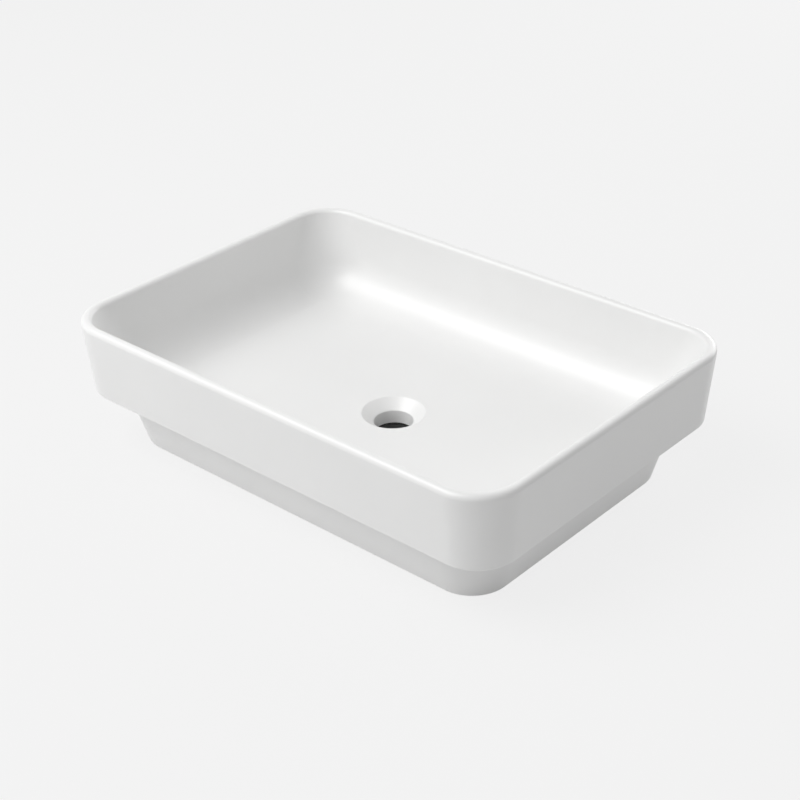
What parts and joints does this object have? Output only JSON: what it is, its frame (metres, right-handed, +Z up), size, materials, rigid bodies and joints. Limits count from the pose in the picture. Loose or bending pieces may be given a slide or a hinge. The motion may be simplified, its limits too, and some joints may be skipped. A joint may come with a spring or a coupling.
{
  "type": "semi recessed basin",
  "caption": "Rectangular semi recessed wash basin: deep glazed bowl with rounded corners, a thin rim, a narrow ledge, a smaller tapered foot that drops into a worktop, and a waste hole.",
  "frame": {"origin": "centre of the foot's base, which is the face the basin stands on", "axes": "+X along the length, +Y to the back (away from the user), +Z up through the waste hole"},
  "size_m": [0.6, 0.42, 0.157],
  "materials": {
    "glazed_body": "gloss white glaze",
    "foam_seal": "matt closed-cell foam",
    "black_rubber": "matt"
  },
  "bodies": {
    "root": {"ceramic_body": "glazed_body", "ledge_seal": "foam_seal", "waste_washer": "black_rubber"}
  },
  "joints": []
}
